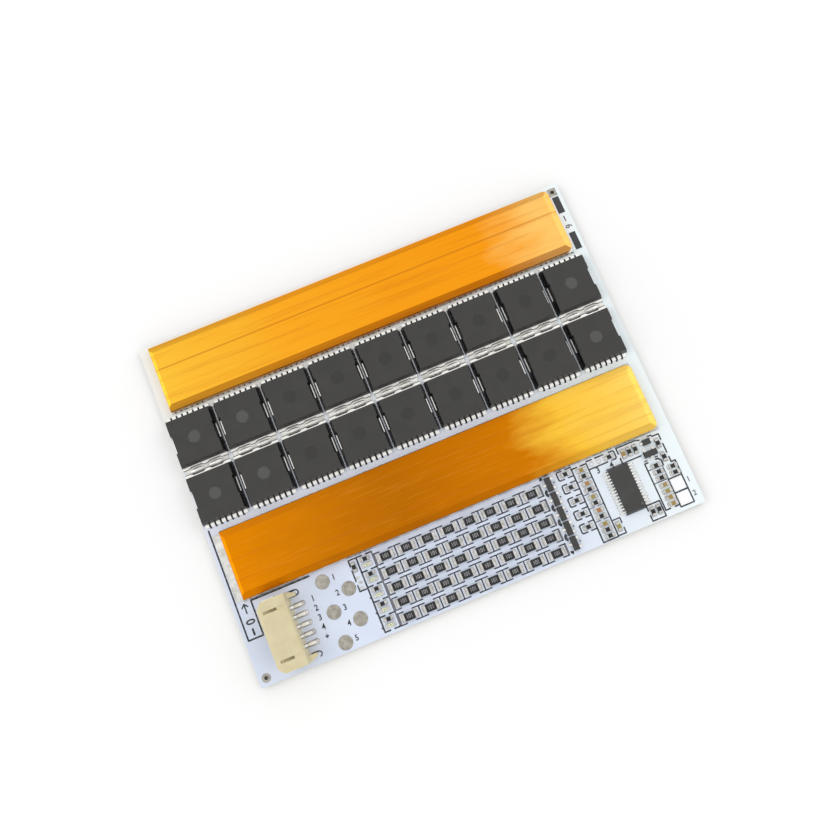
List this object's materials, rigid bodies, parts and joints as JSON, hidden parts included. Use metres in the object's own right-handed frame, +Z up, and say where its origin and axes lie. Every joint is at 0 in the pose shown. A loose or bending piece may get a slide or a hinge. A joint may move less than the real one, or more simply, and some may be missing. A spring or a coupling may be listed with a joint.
{
  "type": "battery management board",
  "caption": "White battery management circuit board: black power transistors between two copper busbars, with a side-entry cell connector and small parts along one edge.",
  "frame": {"origin": "centre of the board's underside, which is the face it rests on", "axes": "+X along the busbars, away from the cell connector's mouth; +Y across the board from the component strip to the charge busbar; +Z up out of the component side"},
  "size_m": [0.0966, 0.0746, 0.0071],
  "materials": {
    "solder_mask": "white solder mask on glass-fibre laminate, satin",
    "busbar_copper": "brushed copper, grain along the bar, satin",
    "solder": "reflowed solder, bright and slightly wrinkled",
    "tinned_land": "hot-air levelled solder, dull and mottled",
    "connector_nylon": "moulded natural nylon, satin",
    "tinned_pin": "tinned brass wire, satin",
    "power_mould_compound": "black epoxy mould compound, fine matt",
    "mould_compound": "black epoxy mould compound, matt",
    "tinned_leadframe": "tinned copper leadframe, bright",
    "tinned_lead": "tinned lead, satin",
    "resistor_glaze": "black glazed top on white alumina",
    "chip_end_metal": "tinned chip ends with soldered fillets",
    "capacitor_ceramic": "fired tan and olive ceramic, matt",
    "lamp_resin": "clear and yellowish lamp resin, glossy"
  },
  "bodies": {
    "root": {"circuit_board": "solder_mask", "charge_busbar": "busbar_copper", "battery_busbar": "busbar_copper", "busbar_solder": "solder", "drain_solder": "solder", "tinned_pads": "tinned_land", "connector_housing": "connector_nylon", "connector_contacts": "tinned_pin", "connector_hold_downs": "tinned_pin", "controller_body": "mould_compound", "controller_leads": "tinned_lead", "balance_resistor_cores": "resistor_glaze", "balance_resistor_ends": "chip_end_metal", "balance_transistor_bodies": "mould_compound", "balance_transistor_leads": "tinned_lead", "lamp_bodies": "lamp_resin", "lamp_ends": "chip_end_metal", "chip_resistor_cores": "resistor_glaze", "chip_capacitor_cores": "capacitor_ceramic", "chip_ends": "chip_end_metal", "regulator_body": "mould_compound", "regulator_leads": "tinned_lead", "diode_body": "mould_compound", "diode_leads": "tinned_lead", "charge_mosfet_body_1": "power_mould_compound", "charge_mosfet_body_2": "power_mould_compound", "charge_mosfet_body_3": "power_mould_compound", "charge_mosfet_body_4": "power_mould_compound", "charge_mosfet_body_5": "power_mould_compound", "charge_mosfet_body_6": "power_mould_compound", "charge_mosfet_body_7": "power_mould_compound", "charge_mosfet_body_8": "power_mould_compound", "charge_mosfet_body_9": "power_mould_compound", "discharge_mosfet_body_1": "power_mould_compound", "discharge_mosfet_body_2": "power_mould_compound", "discharge_mosfet_body_3": "power_mould_compound", "discharge_mosfet_body_4": "power_mould_compound", "discharge_mosfet_body_5": "power_mould_compound", "discharge_mosfet_body_6": "power_mould_compound", "discharge_mosfet_body_7": "power_mould_compound", "discharge_mosfet_body_8": "power_mould_compound", "discharge_mosfet_body_9": "power_mould_compound", "charge_mosfet_leadframe_1": "tinned_leadframe", "charge_mosfet_leadframe_2": "tinned_leadframe", "charge_mosfet_leadframe_3": "tinned_leadframe", "charge_mosfet_leadframe_4": "tinned_leadframe", "charge_mosfet_leadframe_5": "tinned_leadframe", "charge_mosfet_leadframe_6": "tinned_leadframe", "charge_mosfet_leadframe_7": "tinned_leadframe", "charge_mosfet_leadframe_8": "tinned_leadframe", "charge_mosfet_leadframe_9": "tinned_leadframe", "discharge_mosfet_leadframe_1": "tinned_leadframe", "discharge_mosfet_leadframe_2": "tinned_leadframe", "discharge_mosfet_leadframe_3": "tinned_leadframe", "discharge_mosfet_leadframe_4": "tinned_leadframe", "discharge_mosfet_leadframe_5": "tinned_leadframe", "discharge_mosfet_leadframe_6": "tinned_leadframe", "discharge_mosfet_leadframe_7": "tinned_leadframe", "discharge_mosfet_leadframe_8": "tinned_leadframe", "discharge_mosfet_leadframe_9": "tinned_leadframe"}
  },
  "joints": []
}
